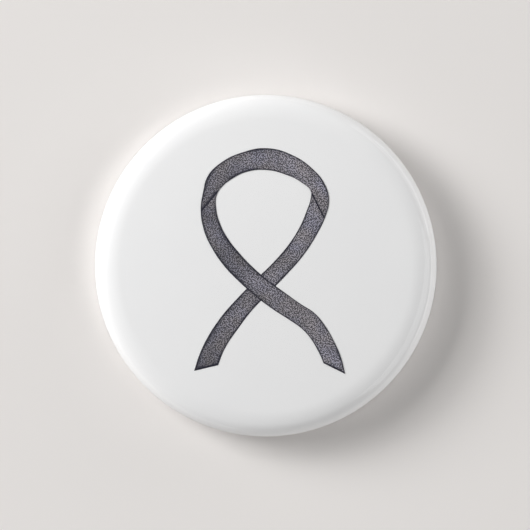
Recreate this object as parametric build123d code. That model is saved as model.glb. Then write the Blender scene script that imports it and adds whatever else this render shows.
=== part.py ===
"""A round pin-back button badge, 1 1/4 inch across, printed with a looped awareness ribbon.

The front is a domed tinplate shell. A white paper disc lies over it, a clear film lies over the paper, and all
three are rolled together round the rim. A dished tinplate back sits inside the roll, and one bent wire, held
under two straps pressed out of the back, is both the pin and the hook that closes over it.

The badge lies on its back, as it does on a table. The origin is on its axis, in the plane it rests on. +Z goes
out through the printed face and +Y is the top of the ribbon. All lengths are in millimetres.
"""

import math
import os
from collections import namedtuple

from build123d import *

# The badge's outside
badge_diameter = 31.75
crown_rise = 0.68
shoulder_radius = 1.85
skirt_height = 1.46
roll_flat = 0.3
roll_bend_radius = 0.15
lip_length = 0.2

# The gentler bend by which the crown runs into the shoulder: its radius in shoulder radii, and the slope in degrees
# at which the shoulder's own bend takes over
ease_share = 2.6
ease_slope = 20

# The sheets, from the outside in, and the room left between them
film_thickness = 0.05
paper_thickness = 0.1
shell_thickness = 0.23
layer_gap = 0.02

# The printed ribbon, as a thin layer of ink between the paper and the film
ink_thickness = 0.03
ink_gap = 0.015
ribbon_height = 20.6
ribbon_band_width = 1.77
ribbon_line_gap = 0.07

# The back plate, dished in the middle, with its edge turned up inside the shell
plate_thickness = 0.23
plate_bend_radius = 0.15
plate_step_width = 0.45
plate_step_margin = 0.3
seat_gap = 0.03

# The two straps that are pressed out of the plate and hold the pin's wire
strap_width = 2.2
strap_top_width = 1.5
strap_foot_width = 4.0
strap_slit = 0.1
strap_tail = 0.4
strap_catch_room = 3.1

# The pin, one bent wire, and the room round it
wire_diameter = 0.7
wire_gap = 0.05
cloth_gap = 0.6
table_gap = 0.05
pin_above_centre = 2.2
pin_leg_spacing = 3.5
pin_spring_room = 4.0
pin_spring_bend = 1.2
pin_point_room = 3.0
pin_point_length = 1.9
pin_point_end_radius = 0.04
catch_point_room = 0.8
catch_bend = 0.6
catch_side_gap = 0.25
catch_tail_length = 1.0

# The ribbon's middle line from the end of its left tail, up through the loop and down to the end of its right
# tail. Across and up are shares of ribbon_height from the badge's centre, width is a share of ribbon_band_width.
Station = namedtuple("Station", "across up width")
ribbon_line = [
    Station(-0.2742, -0.4835, 1.10),
    Station(-0.2542, -0.4203, 1.10),
    Station(-0.2200, -0.3430, 1.06),
    Station(-0.1570, -0.2490, 1.06),
    Station(-0.0980, -0.1770, 0.98),
    Station(-0.0210, -0.0970, 0.96),
    Station(0.0630, -0.0130, 0.93),
    Station(0.1340, 0.0690, 0.94),
    Station(0.1880, 0.1530, 0.96),
    Station(0.2240, 0.2320, 1.01),
    Station(0.2410, 0.3000, 0.94),
    Station(0.2310, 0.3480, 0.82),
    Station(0.1860, 0.3990, 0.90),
    Station(0.1080, 0.4470, 1.06),
    Station(0.0030, 0.4750, 1.13),
    Station(-0.0960, 0.4610, 1.03),
    Station(-0.1750, 0.4230, 1.01),
    Station(-0.2270, 0.3750, 0.92),
    Station(-0.2490, 0.3220, 0.72),
    Station(-0.2560, 0.2550, 0.79),
    Station(-0.2390, 0.1700, 0.90),
    Station(-0.2050, 0.1000, 0.96),
    Station(-0.1520, 0.0270, 1.03),
    Station(-0.0910, -0.0370, 1.03),
    Station(-0.0240, -0.0960, 1.04),
    Station(0.0530, -0.1540, 1.06),
    Station(0.1280, -0.2050, 1.01),
    Station(0.1880, -0.2460, 1.04),
    Station(0.2300, -0.2940, 0.99),
    Station(0.2700, -0.3620, 0.96),
    Station(0.2947, -0.4176, 0.95),
    Station(0.3143, -0.4933, 0.95),
]

# Where each strand of the ribbon begins and ends on its left edge and on its right edge, as one goes along the
# middle line, in shares of each edge. A difference between the two edges slants the fold or the cut end, and the
# shares left out between one strand and the next are the line drawn along the fold.
Strand = namedtuple("Strand", "left_start left_end right_start right_end")
ribbon_under = Strand(0.0000, 0.3861, 0.0203, 0.3115)
ribbon_top = Strand(0.3878, 0.5806, 0.3131, 0.6518)
ribbon_over = Strand(0.5823, 1.0000, 0.6533, 0.9747)

# Sizes worked out from the ones above
badge_radius = badge_diameter / 2
film_inner = film_thickness
ink_outer = film_inner + ink_gap
ink_inner = ink_outer + ink_thickness
paper_outer = ink_inner + ink_gap
paper_inner = paper_outer + paper_thickness
shell_outer = paper_inner + layer_gap
shell_inner = shell_outer + shell_thickness
roll_radius = shell_inner + roll_bend_radius
lip_top = roll_radius + lip_length
shoulder_z = roll_radius + skirt_height
shoulder_x = badge_radius - shoulder_radius
badge_height = shoulder_z + shoulder_radius + crown_rise

ease_radius = shoulder_radius * ease_share
ease_back = ease_radius - shoulder_radius
ease_x = shoulder_x - ease_back * math.sin(math.radians(ease_slope))
ease_z = shoulder_z - ease_back * math.cos(math.radians(ease_slope))
ease_rise = badge_height - ease_radius - ease_z
crown_radius = ease_radius + (ease_x**2 + ease_rise**2) / (2 * ease_rise)
crown_centre_z = badge_height - crown_radius
crown_slope = math.degrees(math.asin(ease_x / (crown_radius - ease_radius)))

flange_z = lip_top + seat_gap
floor_z = table_gap + wire_diameter + wire_gap + wire_diameter + cloth_gap
plate_radius = badge_radius - shell_inner - seat_gap
dish_foot_radius = badge_radius - 2 * roll_radius - roll_flat - plate_step_margin
dish_radius = dish_foot_radius - plate_step_width

wire_radius = wire_diameter / 2
fixed_leg_y = pin_above_centre - pin_leg_spacing / 2
sharp_leg_y = pin_above_centre + pin_leg_spacing / 2
fixed_leg_z = floor_z - wire_gap - wire_radius
sharp_leg_z = floor_z - cloth_gap - wire_radius
catch_z = table_gap + wire_radius
pin_spring_x = pin_spring_room - dish_radius
pin_shaft_end_x = dish_radius - pin_point_room - pin_point_length
catch_x = pin_shaft_end_x - catch_point_room
strap_x = catch_x - strap_catch_room


def skin_line(depth):
    """The badge's outline in section, from the axis over the crown and round the roll, this deep in the stack."""
    roll_x = badge_radius - roll_radius
    lip_x = roll_x - roll_flat - (roll_radius - depth)
    return [
        CenterArc((0, crown_centre_z), crown_radius - depth, 90, -crown_slope),
        CenterArc((ease_x, ease_z), ease_radius - depth, 90 - crown_slope, crown_slope - ease_slope),
        CenterArc((shoulder_x, shoulder_z), shoulder_radius - depth, 90 - ease_slope, ease_slope - 90),
        Line((badge_radius - depth, shoulder_z), (badge_radius - depth, roll_radius)),
        CenterArc((roll_x, roll_radius), roll_radius - depth, 0, -90),
        Line((roll_x, depth), (roll_x - roll_flat, depth)),
        CenterArc((roll_x - roll_flat, roll_radius), roll_radius - depth, -90, -90),
        Line((lip_x, roll_radius), (lip_x, lip_top)),
    ]


def turned(section):
    """A section drawn in radius and height, turned once round the badge's axis."""
    return revolve(Plane.XZ * section, Axis.Z, 360)


def skin(outer_depth, inner_depth):
    """One of the sheets that wrap the front: the space between two depths of the stack."""
    outer, inner = skin_line(outer_depth), skin_line(inner_depth)
    crown = Line((0, badge_height - outer_depth), (0, badge_height - inner_depth))
    lip = Line(outer[-1] @ 1, inner[-1] @ 1)
    return turned(make_face([crown, *outer, lip, *inner]))


def sheet_section(line, bend_radius, thickness):
    """A pressed sheet in section. Its right-hand face follows the line, and every inner bend has the same radius."""
    points = [Vector(*p) for p in line]
    runs = [(b - a).normalized() for a, b in zip(points, points[1:])]
    sides = [Vector(-run.Y, run.X) for run in runs]
    inner_points = [points[0] + sides[0] * thickness]
    right_radii, left_radii = [], []
    for before, after, side, next_side, corner in zip(runs, runs[1:], sides, sides[1:], points[1:]):
        mitre = (side + next_side).normalized()
        inner_points.append(corner + mitre * (thickness / mitre.dot(side)))
        turns_left = before.X * after.Y - before.Y * after.X > 0
        right_radii.append(bend_radius + thickness * turns_left)
        left_radii.append(bend_radius + thickness * (not turns_left))
    inner_points.append(points[-1] + sides[-1] * thickness)
    right = FilletPolyline(*points, radius=right_radii)
    left = FilletPolyline(*inner_points, radius=left_radii)
    return make_face([right, Line(points[-1], inner_points[-1]), left, Line(points[0], inner_points[0])])


def back_plate():
    """The dished disc that closes the back, with its edge turned up inside the shell and two straps pressed out."""
    edge_height = shoulder_z - flange_z
    bend = min(plate_bend_radius, 0.9 * edge_height - plate_thickness)
    line = [
        (0, floor_z),
        (dish_radius, floor_z),
        (dish_foot_radius, flange_z),
        (plate_radius, flange_z),
        (plate_radius, shoulder_z),
    ]
    plate = turned(sheet_section(line, bend, plate_thickness))
    for x in (-strap_x, strap_x):
        plate = pressed_strap(plate, x)
    return plate


def pressed_strap(plate, x):
    """The plate with one strap: a slot through its floor, and the strip cut from it bowed out over the wire."""
    drop = wire_gap + wire_diameter + wire_gap + plate_thickness
    foot, top = strap_foot_width / 2, strap_top_width / 2
    line = [(-foot - strap_tail, 0), (-foot, 0), (-top, -drop), (top, -drop), (foot, 0), (foot + strap_tail, 0)]
    strip = extrude(Plane.YZ * sheet_section(line, plate_bend_radius, plate_thickness), strap_width / 2, both=True)
    slot = Box(strap_width + 2 * strap_slit, strap_foot_width, 3 * plate_thickness)
    place = Pos(x, fixed_leg_y, floor_z)
    return plate - place * slot + place * strip


def pin_wire():
    """One wire: the sharp leg, the spring bend, the leg under the straps, and the hook that closes over the point."""
    hook_reach = wire_diameter + catch_side_gap
    route = [
        (pin_shaft_end_x, sharp_leg_y, sharp_leg_z),
        (pin_spring_x, sharp_leg_y, sharp_leg_z),
        (pin_spring_x, fixed_leg_y, fixed_leg_z),
        (catch_x, fixed_leg_y, fixed_leg_z),
        (catch_x, sharp_leg_y - hook_reach, catch_z),
        (catch_x, sharp_leg_y + hook_reach, catch_z),
        (catch_x, sharp_leg_y + hook_reach, catch_z + catch_tail_length),
    ]
    middle = FilletPolyline(*route, radius=2 * [pin_spring_bend] + 3 * [catch_bend])
    wire = sweep(Plane(middle @ 0, z_dir=middle % 0) * Circle(wire_radius), path=middle)
    point = Cone(wire_radius, pin_point_end_radius, pin_point_length)
    point_x = pin_shaft_end_x + pin_point_length / 2
    return wire + Pos(point_x, sharp_leg_y, sharp_leg_z) * Rot(0, 90, 0) * point


def ribbon_strand(strand, margin=0):
    """One strand of the ribbon as a flat outline, made wider by the margin on both of its long sides."""
    points = [Vector(s.across, s.up) * ribbon_height for s in ribbon_line]
    before, after = points[:1] + points[:-1], points[1:] + points[-1:]
    runs = [(b - a).normalized() for a, b in zip(before, after)]
    edges = []
    for side in (1, -1):
        reaches = [side * (s.width * ribbon_band_width / 2 + margin) for s in ribbon_line]
        edges.append(Spline(*[p + Vector(-r.Y, r.X) * d for p, r, d in zip(points, runs, reaches)]))
    left = edges[0].trim(strand.left_start, strand.left_end)
    right = edges[1].trim(strand.right_start, strand.right_end)
    return make_face([left, Line(left @ 1, right @ 1), right, Line(left @ 0, right @ 0)])


def printed_ribbon():
    """The ribbon's ink, lying between the paper and the film, with a fine gap for each line drawn in it."""
    ink = skin(ink_outer, ink_inner)
    under = ribbon_strand(ribbon_under) - ribbon_strand(ribbon_over, ribbon_line_gap)
    solids = []
    for outline in (ribbon_strand(ribbon_over), ribbon_strand(ribbon_top), *under.faces()):
        column = extrude(Pos(0, 0, shoulder_z) * outline, badge_height - shoulder_z)
        solids += (column & ink).solids()
    return Compound(solids)


def main():
    os.makedirs("parts", exist_ok=True)
    pieces = {
        "clear_film": skin(0, film_inner),
        "ribbon_print": printed_ribbon(),
        "printed_paper": skin(paper_outer, paper_inner),
        "front_shell": skin(shell_outer, shell_inner),
        "back_plate": back_plate(),
        "pin_wire": pin_wire(),
    }
    for name, piece in pieces.items():
        export_step(piece, f"parts/{name}.step")


main()
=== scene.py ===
import bpy
from math import asin, atan2, cos, hypot, pi, radians, sin, sqrt
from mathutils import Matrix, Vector


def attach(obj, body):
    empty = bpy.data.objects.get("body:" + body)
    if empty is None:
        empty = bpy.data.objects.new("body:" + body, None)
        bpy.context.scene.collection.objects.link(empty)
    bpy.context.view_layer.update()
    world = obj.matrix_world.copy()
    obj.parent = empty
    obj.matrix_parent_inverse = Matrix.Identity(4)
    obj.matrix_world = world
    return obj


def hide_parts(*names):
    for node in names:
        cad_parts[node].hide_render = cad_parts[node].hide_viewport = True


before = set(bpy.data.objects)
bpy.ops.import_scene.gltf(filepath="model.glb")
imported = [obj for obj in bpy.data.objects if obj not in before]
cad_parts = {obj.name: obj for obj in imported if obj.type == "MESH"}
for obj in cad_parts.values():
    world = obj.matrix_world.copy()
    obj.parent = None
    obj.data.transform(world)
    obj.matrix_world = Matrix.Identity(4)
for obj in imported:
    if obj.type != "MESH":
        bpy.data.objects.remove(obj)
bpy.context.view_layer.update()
mm = 0.001


# Front shell
# One disc of 0.23 mm tinplate, pressed into a low crown with a round shoulder and a short skirt, then rolled
# in at the edge. Paper and film cover it outside and the back plate inside, so only its rolled end is seen.


def fresh_material(name):
    material = bpy.data.materials.new(name)
    material.use_nodes = True
    material.node_tree.nodes.clear()
    return material


def shader(owner, kind, **sockets):
    """Adds a node of that kind to a material or an effect, and sets its sockets: To_Min=0.2 sets To Min."""
    node = owner.node_tree.nodes.new("ShaderNode" + kind)
    for word, value in sockets.items():
        socket = node.inputs[word.replace("_", " ")]
        if isinstance(value, bpy.types.NodeSocket):
            owner.node_tree.links.new(value, socket)
        else:
            socket.default_value = value
    return node


def worked(owner, operation, first, second, kind="Math"):
    """Works out one value from two, each of them a number or the output of another node."""
    node = owner.node_tree.nodes.new("ShaderNode" + kind)
    node.operation = operation
    for socket, value in zip(node.inputs, (first, second)):
        if isinstance(value, bpy.types.NodeSocket):
            owner.node_tree.links.new(value, socket)
        else:
            socket.default_value = value
    return node.outputs[0]


def tones(owner, mask, low, low_colour, high, high_colour):
    """Turns a mask into a colour, which runs from the low one to the high one between two of its values."""
    ramp = shader(owner, "ValToRGB", Fac=mask)
    for stop, place, colour in zip(ramp.color_ramp.elements, (low, high), (low_colour, high_colour)):
        stop.position = place
        stop.color = (*colour, 1)
    return ramp.outputs["Color"]


class Effect:
    """A node group of masks that several materials share, which shader() fills as it does a material."""
    def __init__(self, name, knobs, masks):
        self.node_tree = bpy.data.node_groups.new(name, "ShaderNodeTree")
        sockets = self.node_tree.interface
        for label, value in knobs.items():
            knob = sockets.new_socket(name=label, in_out="INPUT", socket_type="NodeSocketFloat")
            knob.default_value = value
        for label in masks:
            sockets.new_socket(name=label, in_out="OUTPUT", socket_type="NodeSocketFloat")
        self.knobs = self.node_tree.nodes.new("NodeGroupInput").outputs
        self.masks = self.node_tree.nodes.new("NodeGroupOutput").inputs

    def give(self, label, value):
        self.node_tree.links.new(value, self.masks[label])

    def placed(self, material, **knobs):
        """Puts the effect into a material, with that material's own values, and gives back its outputs."""
        node = material.node_tree.nodes.new("ShaderNodeGroup")
        node.node_tree = self.node_tree
        for label, value in knobs.items():
            node.inputs[label].default_value = value
        return node.outputs


# Hairline scratches in two directions and a little soiling, which every hard surface here has
fine_marks = Effect("fine_marks", {"Spacing": 900.0, "Depth": 1.0}, ["Scratch", "Smudge"])
where = shader(fine_marks, "TexCoord").outputs["Object"]
scratch_stretch, scratch_start, scratch_full = 0.02, 0.66, 0.74
hairlines = []
for turn, share in ((0.5, 1.0), (2.1, 1.37)):
    turned = shader(fine_marks, "Mapping", Vector=where, Rotation=(0, 0, turn),
                    Scale=(1.0, scratch_stretch, 1.0))
    spacing = worked(fine_marks, "MULTIPLY", fine_marks.knobs["Spacing"], share)
    streak = shader(fine_marks, "TexNoise", Vector=turned.outputs["Vector"], Scale=spacing, Detail=2.0)
    hairline = shader(fine_marks, "MapRange", Value=streak.outputs["Fac"], From_Min=scratch_start,
                      From_Max=scratch_full)
    hairlines.append(hairline.outputs["Result"])
scratches = worked(fine_marks, "MAXIMUM", *hairlines)
fine_marks.give("Scratch", worked(fine_marks, "MULTIPLY", scratches, fine_marks.knobs["Depth"]))
smudge = shader(fine_marks, "TexNoise", Vector=where, Scale=260.0, Detail=3.0)
fine_marks.give("Smudge", smudge.outputs["Fac"])

tin_clean, tin_soiled = (0.66, 0.665, 0.67), (0.58, 0.585, 0.595)
tin_grain_scale, tin_grain_stretch, tin_grain_depth = 9000.0, 0.04, 0.004 * mm

tinplate = fresh_material("tinplate")
where = shader(tinplate, "TexCoord").outputs["Object"]
rolled = shader(tinplate, "Mapping", Vector=where, Scale=(1.0, tin_grain_stretch, 1.0))
grain = shader(tinplate, "TexNoise", Vector=rolled.outputs["Vector"], Scale=tin_grain_scale, Detail=3.0)
tin_marks = fine_marks.placed(tinplate, Spacing=1400.0)
tin_tone = tones(tinplate, tin_marks["Smudge"], 0.3, tin_soiled, 0.7, tin_clean)
tin_gloss = shader(tinplate, "MapRange", Value=grain.outputs["Fac"], To_Min=0.2, To_Max=0.36)
tin_height = worked(tinplate, "SUBTRACT", grain.outputs["Fac"], tin_marks["Scratch"])
tin_bump = shader(tinplate, "Bump", Height=tin_height, Strength=0.35, Distance=tin_grain_depth)
tin_face = shader(tinplate, "BsdfPrincipled", Base_Color=tin_tone, Roughness=tin_gloss.outputs["Result"],
                  Metallic=1.0, Normal=tin_bump.outputs["Normal"])
shader(tinplate, "OutputMaterial", Surface=tin_face.outputs["BSDF"])

front_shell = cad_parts["front_shell"]
front_shell.data.materials.clear()
front_shell.data.materials.append(tinplate)


# Printed paper
# A disc of 0.1 mm coated white paper with the print on it, laid over the shell before pressing. It is drawn
# round the shoulder, and its spare edge gathers into fine pleats on the inner side of the roll.
badge_radius, badge_height = 15.875 * mm, 4.6 * mm
shoulder_radius, skirt_height = 1.85 * mm, 1.46 * mm
ease_radius, ease_slope = 2.6 * shoulder_radius, radians(20)
roll_radius, roll_flat, lip_length = 0.61 * mm, 0.3 * mm, 0.2 * mm
pleats, pleat_depth, pleat_length, pleat_start = 96, 0.07 * mm, 0.55 * mm, 0.05 * mm
paper_depth, paper_thickness = 0.11 * mm, 0.1 * mm
turns_round = 600
paper_white, paper_bright = (0.905, 0.905, 0.908), (0.919, 0.919, 0.919)

# The section's arcs, from the rim inwards: the roll, the shoulder, the gentler bend before it, and the crown
roll_x = badge_radius - roll_radius
tuck_x = roll_x - roll_flat
shoulder_x, shoulder_z = badge_radius - shoulder_radius, roll_radius + skirt_height
ease_x = shoulder_x - (ease_radius - shoulder_radius) * sin(ease_slope)
ease_z = shoulder_z - (ease_radius - shoulder_radius) * cos(ease_slope)
ease_rise = badge_height - ease_radius - ease_z
crown_radius = ease_radius + (ease_x ** 2 + ease_rise ** 2) / (2 * ease_rise)
crown_centre = badge_height - crown_radius
crown_slope = asin(ease_x / (crown_radius - ease_radius))


def new_point(name, spot):
    """Starts a piece as a single point, in edit mode, on an object that stays at the origin."""
    bpy.ops.object.select_all(action="DESELECT")
    bpy.ops.mesh.primitive_plane_add(size=mm, location=spot)
    bpy.ops.object.transform_apply(location=True, rotation=True, scale=True)
    piece = bpy.context.object
    piece.name = piece.data.name = name
    bpy.ops.object.mode_set(mode="EDIT")
    bpy.ops.mesh.select_all(action="SELECT")
    bpy.ops.mesh.merge(type="CENTER")
    return piece


def draw_run(step):
    bpy.ops.mesh.extrude_region_move(TRANSFORM_OT_translate={"value": step})


def draw_arc(centre_x, centre_z, turn, steps):
    bpy.ops.mesh.spin(steps=steps, angle=-turn, center=(centre_x, 0, centre_z), axis=(0, 1, 0))


def pleat_edge(mesh):
    """Pushes the skin's tucked edge inwards in pleats of uneven depth, which deepen towards its end."""
    for point in mesh.vertices:
        reach = hypot(point.co.x, point.co.y)
        if reach < tuck_x - pleat_start and point.co.z < 2 * roll_radius:
            around = atan2(point.co.y, point.co.x)
            down = min(1.0, (tuck_x - reach) / pleat_length)
            wave = 0.5 + 0.5 * sin(pleats * around + 1.9 * sin(5 * around) + 1.1 * sin(13 * around + 1))
            push = pleat_depth * down * wave ** 2 * (0.7 + 0.3 * sin(29 * around))
            point.co.x -= push * cos(around)
            point.co.y -= push * sin(around)


def turned_skin(name, depth, thickness):
    """Draws half a layer's section, spins it round the badge's axis, and gives it its pleats and its wall."""
    skin = new_point(name, (0, 0, badge_height - depth))
    draw_arc(0, crown_centre, crown_slope, 16)
    draw_arc(ease_x, ease_z, ease_slope - crown_slope, 8)
    draw_arc(shoulder_x, shoulder_z, pi / 2 - ease_slope, 16)
    draw_run((0, 0, -skirt_height))
    draw_arc(roll_x, roll_radius, pi / 2, 10)
    draw_run((-roll_flat, 0, 0))
    draw_arc(tuck_x, roll_radius, pi / 2, 10)
    draw_run((0, 0, lip_length))
    bpy.ops.mesh.select_all(action="SELECT")
    bpy.ops.mesh.spin(steps=turns_round, angle=2 * pi, center=(0, 0, 0), axis=(0, 0, 1))
    bpy.ops.mesh.select_all(action="SELECT")
    bpy.ops.mesh.remove_doubles(threshold=0.0002 * mm)
    bpy.ops.mesh.normals_make_consistent(inside=False)
    bpy.ops.object.mode_set(mode="OBJECT")
    pleat_edge(skin.data)
    wall = skin.modifiers.new("wall", "SOLIDIFY")
    wall.thickness, wall.offset, wall.use_even_offset = thickness, -1, True
    return skin


def finish_piece(piece, materials, smooth=35):
    """Gives the materials, applies the modifiers, and smooths all edges up to that many degrees."""
    bpy.ops.object.select_all(action="DESELECT")
    piece.select_set(True)
    bpy.context.view_layer.objects.active = piece
    for material in materials:
        piece.data.materials.append(material)
    for modifier in [m.name for m in piece.modifiers]:
        bpy.ops.object.modifier_apply(modifier=modifier)
    bpy.ops.object.shade_smooth_by_angle(angle=radians(smooth))


white_paper = fresh_material("white_paper")
where = shader(white_paper, "TexCoord").outputs["Object"]
fibre = shader(white_paper, "TexNoise", Vector=where, Scale=2600.0, Detail=4.0)
cloud = shader(white_paper, "TexNoise", Vector=where, Scale=140.0, Detail=2.0)
paper_tone = tones(white_paper, cloud.outputs["Fac"], 0.3, paper_white, 0.7, paper_bright)
paper_bump = shader(white_paper, "Bump", Height=fibre.outputs["Fac"], Strength=0.25, Distance=0.01 * mm)
paper_face = shader(white_paper, "BsdfPrincipled", Base_Color=paper_tone, Roughness=0.55,
                    Normal=paper_bump.outputs["Normal"])
shader(white_paper, "OutputMaterial", Surface=paper_face.outputs["BSDF"])

paper = turned_skin("printed_paper_skin", paper_depth, paper_thickness)
finish_piece(paper, [white_paper])
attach(paper, "root")
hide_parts("printed_paper")


# Ribbon print
# The looped ribbon is printed in dark grey on the paper: one strand passes over the other, and the loop's top
# is a third, folded at both sides. The colour is fine pencil-like speckle inside a thin dark outline.
ribbon_height, band_width = 20.6 * mm, 1.77 * mm
ink_thickness, ink_depth, under_depth = 0.01 * mm, 0.072 * mm, 0.092 * mm
end_line_extra = 0.05

# The ribbon's middle line, from the left tail round the loop to the right tail. Each place is given across
# and up in shares of the ribbon's height, with the band's width there in shares of its usual width.
ribbon = [
    (-.2742, -.4835, 1.10), (-.2542, -.4203, 1.10), (-.2200, -.3430, 1.06), (-.1570, -.2490, 1.06),
    (-.0980, -.1770, .98), (-.0210, -.0970, .96), (.0630, -.0130, .93), (.1340, .0690, .94),
    (.1880, .1530, .96), (.2240, .2320, 1.01), (.2410, .3000, .94), (.2310, .3480, .82),
    (.1860, .3990, .90), (.1080, .4470, 1.06), (.0030, .4750, 1.13), (-.0960, .4610, 1.03),
    (-.1750, .4230, 1.01), (-.2270, .3750, .92), (-.2490, .3220, .72), (-.2560, .2550, .79),
    (-.2390, .1700, .90), (-.2050, .1000, .96), (-.1520, .0270, 1.03), (-.0910, -.0370, 1.03),
    (-.0240, -.0960, 1.04), (.0530, -.1540, 1.06), (.1280, -.2050, 1.01), (.1880, -.2460, 1.04),
    (.2300, -.2940, .99), (.2700, -.3620, .96), (.2947, -.4176, .95), (.3143, -.4933, .95),
]

# Where the cut ends and the folds cross the band, in shares of its left and of its right edge's length
left_tail_end, right_tail_end = (0, .0203), (1, .9747)
right_fold, left_fold = (.3861, .3115), (.5823, .6533)


def ribbon_edge(side):
    """One edge of the ribbon: a smooth curve through points half a width to that side of its middle line."""
    middle = [Vector((across * ribbon_height, up * ribbon_height, 0)) for across, up, wide in ribbon]
    bpy.ops.curve.primitive_bezier_curve_add()
    edge = bpy.context.object
    line = edge.data.splines[0]
    line.bezier_points.add(len(ribbon) - 2)
    for at, point in enumerate(line.bezier_points):
        ahead = middle[min(at + 1, len(middle) - 1)] - middle[max(at - 1, 0)]
        out = Vector((-ahead.y, ahead.x, 0)).normalized()
        point.co = middle[at] + out * side * band_width * ribbon[at][2] / 2
        point.handle_left_type = point.handle_right_type = "AUTO"
    line.resolution_u = 24
    bpy.context.view_layer.update()
    drawn = bpy.data.meshes.new_from_object(edge)
    points = [p.co.copy() for p in drawn.vertices]
    bpy.data.objects.remove(edge)
    bpy.data.meshes.remove(drawn)
    return points


def share_along(points, share):
    """The point at that share of the line's length."""
    runs = [(b - a).length for a, b in zip(points, points[1:])]
    left = share * sum(runs)
    for at, run in enumerate(runs):
        if left <= run or at == len(runs) - 1:
            return points[at].lerp(points[at + 1], left / run)
        left -= run


def distance_to(spot, start, end):
    """How far the spot is from the straight line between two points."""
    run = end - start
    along = (spot - start).dot(run) / run.length_squared
    return (start.lerp(end, min(1, max(0, along))) - spot).length


def between(first, second, share):
    return first + (second - first) * share


def flat_noise(spots, scale, **sockets):
    """Noise over the print's own plane, for ink is flat."""
    noise = shader(ribbon_ink, "TexNoise", Vector=spots, Scale=scale, **sockets)
    noise.noise_dimensions = "2D"
    return noise.outputs["Fac"]


def spread(value, start, end, low, high):
    """Runs from low to high as the value goes from start to end."""
    return shader(ribbon_ink, "MapRange", Value=value, From_Min=start, From_Max=end, To_Min=low,
                  To_Max=high).outputs["Result"]


# The ink's scales in cells to a metre, its tones, and its widths in millimetres. The shift is the place in
# the noise, out of some five million, whose patches came nearest to those of the photographed print.
speckle_scale, speckle_dark, speckle_light = 9200.0, (0.039, 0.037, 0.044), (0.366, 0.354, 0.398)
patch_scale, patch_shift, patch_dark, patch_light = 330.0, (77 * mm, -90.1 * mm, 0), 0.74, 1.16
left_shade, right_shade, edge_darkest, edge_shade_width = 0.82, 1.17, 0.79, 0.7
tint_scale, warm_tint, cool_tint = 420.0, (1.03, 0.995, 0.955), (0.965, 0.977, 1.065)
line_colour, line_scale = (0.003, 0.003, 0.016, 1), 420.0
line_solid, line_at_left, line_at_right = 0.07, 0.27, 0.14

ribbon_ink = fresh_material("ribbon_ink")
where = shader(ribbon_ink, "TexCoord").outputs["Object"]
from_middle = shader(ribbon_ink, "SeparateXYZ", Vector=where).outputs["X"]

# The pencil's speckle, its softer patches, and a slow change from darker at the left to lighter at the right
aslant = shader(ribbon_ink, "Mapping", Vector=where, Rotation=(0, 0, 0.5)).outputs["Vector"]
speckle = flat_noise(aslant, speckle_scale, Detail=0.0)
speckle_tone = tones(ribbon_ink, speckle, 0.45, speckle_dark, 0.6, speckle_light)
beside = shader(ribbon_ink, "Mapping", Vector=where, Location=patch_shift).outputs["Vector"]
patch = flat_noise(beside, patch_scale, Detail=3.0, Roughness=0.6)
patches = spread(patch, 0.3, 0.7, patch_dark, patch_light)
left_to_right = spread(from_middle, -5 * mm, 6 * mm, left_shade, right_shade)

# The shade deepens towards the band's edges, whose distances in millimetres are an attribute of each strand
edges = shader(ribbon_ink, "Attribute")
edges.attribute_name = "from_edges"
sides = shader(ribbon_ink, "SeparateXYZ", Vector=edges.outputs["Vector"]).outputs
nearest_side = worked(ribbon_ink, "MINIMUM", sides["X"], sides["Y"])
nearest = worked(ribbon_ink, "MINIMUM", nearest_side, sides["Z"])
edge_shade = spread(nearest, 0.0, edge_shade_width, edge_darkest, 1.0)
shade = worked(ribbon_ink, "MULTIPLY", edge_shade, worked(ribbon_ink, "MULTIPLY", left_to_right, patches))

# The drawn line along the edges is wider at the left, and uneven all along
line_unevenness = spread(flat_noise(where, line_scale, Detail=1.0), 0.35, 0.65, 0.65, 1.45)
usual_width = spread(from_middle, -6 * mm, 4 * mm, line_at_left, line_at_right)
line_width = worked(ribbon_ink, "MULTIPLY", usual_width, line_unevenness)
outline = spread(nearest, line_solid, line_width, 1.0, 0.0)

hue = tones(ribbon_ink, flat_noise(where, tint_scale, Detail=2.0), 0.35, warm_tint, 0.65, cool_tint)
tinted = worked(ribbon_ink, "MULTIPLY", speckle_tone, hue, kind="VectorMath")
shaded = shader(ribbon_ink, "VectorMath")
shaded.operation = "SCALE"
ribbon_ink.node_tree.links.new(tinted, shaded.inputs[0])
ribbon_ink.node_tree.links.new(shade, shaded.inputs["Scale"])
inked = shader(ribbon_ink, "Mix")
inked.data_type = "RGBA"
ribbon_ink.node_tree.links.new(outline, inked.inputs["Factor"])
plain_side, line_side = [socket for socket in inked.inputs if socket.type == "RGBA"]
ribbon_ink.node_tree.links.new(shaded.outputs["Vector"], plain_side)
line_side.default_value = line_colour
ink_colour = [socket for socket in inked.outputs if socket.type == "RGBA"][0]
ink_face = shader(ribbon_ink, "BsdfPrincipled", Base_Color=ink_colour, Roughness=0.5)
shader(ribbon_ink, "OutputMaterial", Surface=ink_face.outputs["BSDF"])


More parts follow.
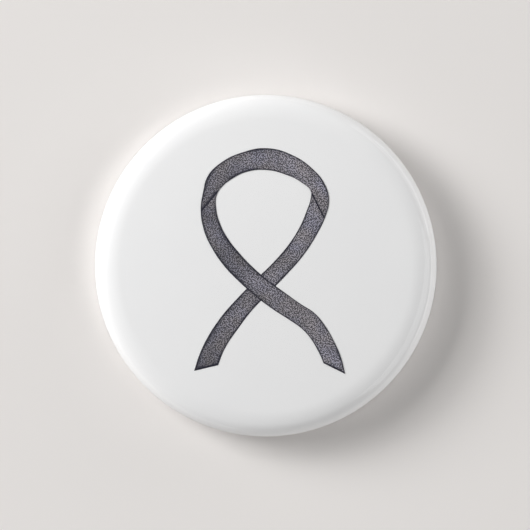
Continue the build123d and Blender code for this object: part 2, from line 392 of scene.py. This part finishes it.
def lay_strand(name, depth, start, end, drawn_ends, rows):
    """A strip of ink from one cut or fold of the ribbon to the next, laid down on the paper's crown."""
    bpy.ops.object.select_all(action="DESELECT")
    bpy.ops.mesh.primitive_grid_add(x_subdivisions=rows, y_subdivisions=8, size=2)
    strand = bpy.context.object
    strand.name = strand.data.name = name
    ends = [(share_along(left_edge, at_left), share_along(right_edge, at_right))
            for at_left, at_right in drawn_ends]
    from_edges = strand.data.attributes.new("from_edges", "FLOAT_VECTOR", "POINT")
    cuts = {}
    for at, point in enumerate(strand.data.vertices):
        along, over_band = (point.co.x + 1) / 2, (point.co.y + 1) / 2
        if round(along, 5) not in cuts:
            cuts[round(along, 5)] = (share_along(left_edge, between(start[0], end[0], along)),
                                     share_along(right_edge, between(start[1], end[1], along)))
        left, right = cuts[round(along, 5)]
        spot = right.lerp(left, over_band)
        to_end = min(distance_to(spot, a, b) for a, b in ends)
        from_edges.data[at].vector = ((spot - left).length / mm, (spot - right).length / mm,
                                      to_end / mm - end_line_extra)
        high = crown_centre + sqrt((crown_radius - depth) ** 2 - spot.x ** 2 - spot.y ** 2)
        point.co = (spot.x, spot.y, high)
    layer = strand.modifiers.new("layer", "SOLIDIFY")
    layer.thickness, layer.offset = ink_thickness, -1
    bpy.ops.object.mode_set(mode="EDIT")
    bpy.ops.mesh.select_all(action="SELECT")
    bpy.ops.mesh.normals_make_consistent(inside=False)
    bpy.ops.object.mode_set(mode="OBJECT")
    if strand.data.polygons[0].normal.z < 0:
        strand.data.flip_normals()
    finish_piece(strand, [ribbon_ink])
    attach(strand, "root")
    return strand


left_edge, right_edge = ribbon_edge(1), ribbon_edge(-1)
lay_strand("ribbon_under", under_depth, left_tail_end, right_fold, [left_tail_end], 150)
lay_strand("ribbon_top", ink_depth, right_fold, left_fold, [right_fold, left_fold], 100)
over = lay_strand("ribbon_over", ink_depth, left_fold, right_tail_end, [right_tail_end], 150)
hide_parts("ribbon_print")


# Clear film
# A disc of 0.05 mm clear polyester film over the print, pressed round the shoulder with the paper and tucked
# into the roll. Its outer face gives the badge its gloss.
film_thickness, film_index = 0.05 * mm, 1.45

film_face = fresh_material("film_face")
where = shader(film_face, "TexCoord").outputs["Object"]
film_marks = fine_marks.placed(film_face, Spacing=700.0, Depth=0.6)
ripple = shader(film_face, "TexNoise", Vector=where, Scale=500.0, Detail=1.0)
film_height = worked(film_face, "SUBTRACT", ripple.outputs["Fac"], film_marks["Scratch"])
film_bump = shader(film_face, "Bump", Height=film_height, Strength=0.12, Distance=0.004 * mm)
film_gloss = shader(film_face, "MapRange", Value=film_marks["Smudge"], To_Min=0.08, To_Max=0.16)
through = shader(film_face, "BsdfTransparent", Color=(1, 1, 1, 1))
shine = shader(film_face, "BsdfAnisotropic", Color=(1, 1, 1, 1), Roughness=film_gloss.outputs["Result"],
               Normal=film_bump.outputs["Normal"])
facing = shader(film_face, "Fresnel", IOR=film_index, Normal=film_bump.outputs["Normal"])
outer_side = worked(film_face, "SUBTRACT", 1, shader(film_face, "NewGeometry").outputs["Backfacing"])
shine_share = worked(film_face, "MULTIPLY", facing.outputs["Fac"], outer_side)
film_mix = shader(film_face, "MixShader", Fac=shine_share)
film_face.node_tree.links.new(through.outputs[0], film_mix.inputs[1])
film_face.node_tree.links.new(shine.outputs[0], film_mix.inputs[2])
shader(film_face, "OutputMaterial", Surface=film_mix.outputs[0])

film_inside = fresh_material("film_inside")
clear = shader(film_inside, "BsdfTransparent", Color=(1, 1, 1, 1))
shader(film_inside, "OutputMaterial", Surface=clear.outputs[0])

film = turned_skin("clear_film_skin", 0, film_thickness)
film.modifiers["wall"].material_offset = film.modifiers["wall"].material_offset_rim = 1
finish_piece(film, [film_face, film_inside])
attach(film, "root")
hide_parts("clear_film")


# Back plate
# A second pressing of tinplate: a flat-bottomed dish with a turned-up edge inside the front's roll, and two
# straps lanced out of its floor that hold the pin's fixed leg.


def joined_copy(node, name):
    """A copy of a CAD node with its loose triangles joined, so that its bends take the light smoothly."""
    bpy.ops.object.select_all(action="DESELECT")
    node.select_set(True)
    bpy.context.view_layer.objects.active = node
    bpy.ops.object.duplicate()
    piece = bpy.context.object
    piece.name = piece.data.name = name
    bpy.ops.mesh.customdata_custom_splitnormals_clear()
    bpy.ops.object.mode_set(mode="EDIT")
    bpy.ops.mesh.select_all(action="SELECT")
    bpy.ops.mesh.remove_doubles(threshold=0.0004 * mm)
    bpy.ops.object.mode_set(mode="OBJECT")
    piece.data.materials.clear()
    return piece


plate = joined_copy(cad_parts["back_plate"], "back_plate_pressing")
finish_piece(plate, [tinplate], 25)
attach(plate, "root")
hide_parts("back_plate")


# Pin
# One length of 0.7 mm spring steel wire, bent cold, nickel-plated and ground to a point. Its fixed leg lies
# under the straps, and its sharp leg is caught in the hook at the other end of the wire.
nickel_clean, nickel_soiled = (0.74, 0.73, 0.705), (0.60, 0.585, 0.555)
draw_line_scale, draw_line_stretch, draw_line_depth = 14000.0, 0.03, 0.003 * mm

nickel = fresh_material("nickel")
where = shader(nickel, "TexCoord").outputs["Object"]
drawn_down = shader(nickel, "Mapping", Vector=where, Scale=(draw_line_stretch, 1.0, 1.0))
draw_lines = shader(nickel, "TexNoise", Vector=drawn_down.outputs["Vector"], Scale=draw_line_scale,
                    Detail=2.0)
nickel_marks = fine_marks.placed(nickel, Spacing=2600.0)
nickel_tone = tones(nickel, nickel_marks["Smudge"], 0.3, nickel_soiled, 0.7, nickel_clean)
nickel_gloss = shader(nickel, "MapRange", Value=draw_lines.outputs["Fac"], To_Min=0.12, To_Max=0.3)
nickel_height = worked(nickel, "SUBTRACT", draw_lines.outputs["Fac"], nickel_marks["Scratch"])
nickel_bump = shader(nickel, "Bump", Height=nickel_height, Strength=0.3, Distance=draw_line_depth)
nickel_face = shader(nickel, "BsdfPrincipled", Base_Color=nickel_tone, Metallic=1.0,
                     Roughness=nickel_gloss.outputs["Result"], Normal=nickel_bump.outputs["Normal"])
shader(nickel, "OutputMaterial", Surface=nickel_face.outputs["BSDF"])

wire = joined_copy(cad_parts["pin_wire"], "bent_wire")
finish_piece(wire, [nickel], 50)
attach(wire, "root")
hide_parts("pin_wire")


# Studio
# A plain pale floor, a large soft lamp with a brighter middle at the upper left, a weaker one opposite, low
# cards all round, and a little even light.
floor_width, floor_colour = 1600 * mm, (0.833, 0.804, 0.783, 1)

floor_tone = fresh_material("floor")
floor_face = shader(floor_tone, "BsdfPrincipled", Base_Color=floor_colour, Roughness=0.9)
shader(floor_tone, "OutputMaterial", Surface=floor_face.outputs["BSDF"])
bpy.ops.mesh.primitive_plane_add(size=floor_width, location=(0, 0, 0))
floor = bpy.context.object
floor.name = "floor"
floor.data.materials.append(floor_tone)


def soft_lamp(name, across, up, distance, width, height, power):
    """A rectangular lamp at that azimuth and elevation, facing the badge, with its sizes in metres."""
    spot = Vector((cos(up) * cos(across), cos(up) * sin(across), sin(up))) * distance
    bpy.ops.object.light_add(type="AREA", location=spot, rotation=spot.to_track_quat("Z", "Y").to_euler())
    lamp = bpy.context.object
    lamp.name = name
    lamp.data.shape = "RECTANGLE"
    lamp.data.size, lamp.data.size_y = width, height
    lamp.data.energy = power


for name, across, up, distance, width, height, power in (
        ("key", 155, 32, 0.8, 0.55, 0.36, 4.56),
        ("key_core", 155, 22, 0.8, 0.3, 0.25, 3.1),
        ("fill", -20, 36, 0.8, 0.8, 0.4, 1.98),
        ("right_card", 10, 4, 0.7, 1.15, 0.12, 1.06),
        ("upper_card", 35, 12, 0.7, 0.6, 0.35, 0.85),
        ("left_card", 230, 6, 0.7, 0.8, 0.15, 0.29),
        ("front_card", 270, 6, 0.7, 0.5, 0.15, 0.1)):
    soft_lamp(name, radians(across), radians(up), distance, width, height, power)

world = bpy.data.worlds.new("room")
bpy.context.scene.world = world
world.use_nodes = True
even_light = world.node_tree.nodes["Background"]
even_light.inputs["Color"].default_value = (1, 1, 1, 1)
even_light.inputs["Strength"].default_value = 0.153

# A long lens straight above, whose picture is 49 mm wide at the height of the badge's widest part
lens, sensor_width, picture_width = 300, 36, 49.0 * mm
aim_x, aim_y, aim_height = -0.074 * mm, 0.055 * mm, 1.45 * mm
spot = (aim_x, aim_y, aim_height + picture_width * lens / sensor_width)
bpy.ops.object.camera_add(location=spot, rotation=(0, 0, 0))
camera = bpy.context.object
camera.data.lens, camera.data.sensor_width = lens, sensor_width
bpy.context.scene.camera = camera
bpy.context.scene.view_settings.view_transform = "Standard"
